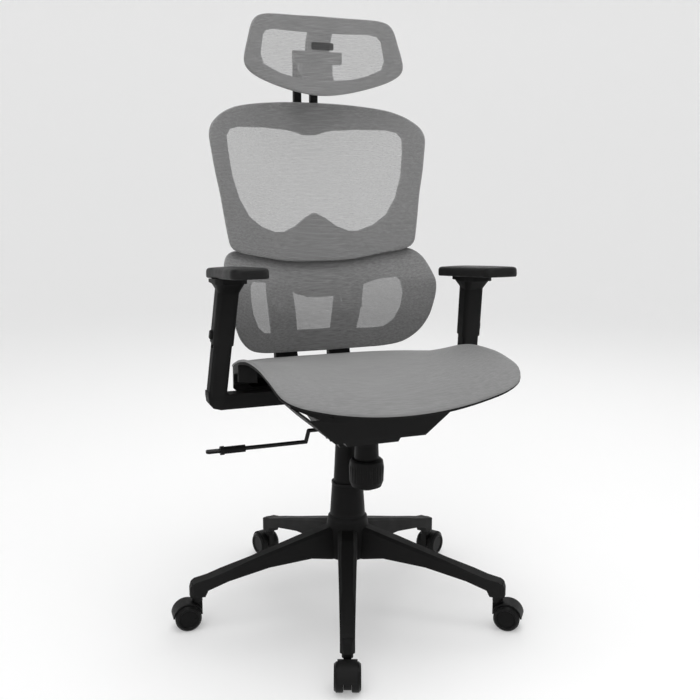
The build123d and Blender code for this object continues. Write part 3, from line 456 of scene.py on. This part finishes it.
# hems as (out past the outline, back from the surface)
ROLL = [(0.9, 2.0), (1.3, 5.0), (1.3, 10.0), (0.8, 14.0), (-2.0, 15.0), (-8.0, 15.1)]
THIN_ROLL = [(0.9, 2.0), (1.2, 5.0), (1.2, 9.0), (0.6, 12.2), (-2.0, 13.0), (-7.0, 13.1)]
make_panel("back_fabric", BACK_HALF, upright(back_surface), ROLL, (0, 850), "seat", "back_mesh",
           FABRIC)
make_panel("lumbar_fabric", LUMBAR_HALF, upright(lumbar_surface), THIN_ROLL, (0, 605), "lumbar", "lumbar_mesh",
           LUMBAR_FABRIC)
make_panel("head_fabric", HEAD_HALF, upright(head_surface), THIN_ROLL, (0, 1095), "headrest", "head_mesh",
           FABRIC)
make_panel("seat_fabric", SEAT_HALF, lying, [(0.9, 1.8), (1.3, 3.4), (1.2, 5.0), (0.2, 5.6)], (0, -60), "seat",
           "seat_mesh", SEAT_FABRIC)


# ---- plain woven label on the headrest ----
def label():
    half_w, half_h, corner = 23.0, 7.0, 3.0
    rim = []
    for cx, cz, start in ((1, 1, 0), (-1, 1, 90), (-1, -1, 180), (1, -1, 270)):
        for step in range(5):
            a = math.radians(start + 22.5 * step)
            rim.append((cx * (half_w - corner) + corner * math.cos(a),
                        cz * (half_h - corner) + corner * math.sin(a)))
    mid = 1110.0
    verts = [(x, head_surface(x, mid + z) + 0.4, mid + z) for x, z in rim]
    inner = [(x * 0.8, head_surface(x * 0.8, mid + z * 0.7) + 0.2, mid + z * 0.7) for x, z in rim]
    n = len(rim)
    faces = [(i, (i + 1) % n, n + (i + 1) % n, n + i) for i in range(n)] + [tuple(range(n, 2 * n))]
    obj = new_object("head_label", verts + inner, faces)
    dress(obj, LABEL)
    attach(obj, "headrest")


label()


# ---- armrest pads: crowned, remeshed from the grooved CAD solid ----
def arm_pad(side):
    node = "arm_pad_" + side
    low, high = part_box(node)
    middle = (low + high) / 2
    obj = bpy.data.objects.new("pad_skin_" + side, bpy.data.objects[node].data.copy())
    bpy.context.scene.collection.objects.link(obj)
    remesh = obj.modifiers.new("even", "REMESH")
    remesh.mode = "VOXEL"
    remesh.voxel_size = PAD_VOXEL
    smooth = obj.modifiers.new("soft", "SMOOTH")
    smooth.iterations = 3
    graph = bpy.context.evaluated_depsgraph_get()
    mesh = bpy.data.meshes.new_from_object(obj.evaluated_get(graph))
    obj.modifiers.clear()
    obj.data = mesh
    half_w, half_l = (high.x - low.x) / 2, (high.y - low.y) / 2
    for v in mesh.vertices:
        if v.co.z > middle.z:
            u = min(1.0, abs(v.co.x - middle.x) / half_w)
            w = min(1.0, abs(v.co.y - middle.y) / half_l)
            v.co.z += PAD_CROWN * (1 - u * u) * (1 - w ** 4)
    for face in mesh.polygons:
        face.use_smooth = True
    dress(obj, PAD)
    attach(obj, "pad_" + side)
    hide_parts(node)


arm_pad("left")
arm_pad("right")


# ---- floor, backdrop, light and camera ----
def backdrop():
    """Round level floor that curves up into a plain wall on all sides."""
    flat, bend, top, sides, bend_steps = 4.4, 2.2, 6.0, 96, 12
    profile = [(1.5, 0.0), (3.0, 0.0), (flat, 0.0)]
    for step in range(1, bend_steps + 1):
        a = math.radians(90 * step / bend_steps)
        profile.append((flat + bend * math.sin(a), bend * (1 - math.cos(a))))
    profile.append((flat + bend, top))
    verts = [(0, 0, 0)]
    for r, z in profile:
        for i in range(sides):
            turn = 2 * math.pi * i / sides
            verts.append((r * math.cos(turn), r * math.sin(turn), z))
    faces = [(0, 1 + i, 1 + (i + 1) % sides) for i in range(sides)]
    for j in range(len(profile) - 1):
        for i in range(sides):
            k = (i + 1) % sides
            faces.append((1 + j * sides + i, 1 + (j + 1) * sides + i,
                          1 + (j + 1) * sides + k, 1 + j * sides + k))
    mesh = bpy.data.meshes.new("studio_floor")
    mesh.from_pydata(verts, [], faces)
    obj = bpy.data.objects.new("studio_floor", mesh)
    bpy.context.scene.collection.objects.link(obj)
    for face in mesh.polygons:
        face.use_smooth = True
    dress(obj, pale_floor("pale_floor", FLOOR_GREY))


def softbox(name, place, target, size, power):
    light = bpy.data.lights.new(name, "AREA")
    light.shape = "RECTANGLE"
    light.size, light.size_y = size
    light.energy = power
    obj = bpy.data.objects.new(name, light)
    obj.location = place
    obj.rotation_euler = (Vector(target) - Vector(place)).to_track_quat("-Z", "Y").to_euler()
    bpy.context.scene.collection.objects.link(obj)


def studio():
    scene = bpy.context.scene
    world = bpy.data.worlds.new("studio")
    world.use_nodes = True
    background = world.node_tree.nodes["Background"]
    background.inputs["Color"].default_value = (1, 1, 1, 1)
    background.inputs["Strength"].default_value = WORLD_LIGHT
    scene.world = world
    for values in SOFTBOXES:
        softbox(*values)
    scene.view_settings.view_transform = "Standard"
    data = bpy.data.cameras.new("camera")
    data.lens = LENS_MM
    data.sensor_width = SENSOR_MM
    data.shift_x = CAMERA_SHIFT_X
    camera = bpy.data.objects.new("camera", data)
    camera.location = CAMERA_PLACE
    turn, dip = math.radians(CAMERA_TURN), math.radians(CAMERA_DIP)
    look = Vector((math.sin(turn) * math.cos(dip), math.cos(turn) * math.cos(dip), -math.sin(dip)))
    camera.rotation_euler = look.to_track_quat("-Z", "Y").to_euler()
    scene.collection.objects.link(camera)
    scene.camera = camera


backdrop()
studio()
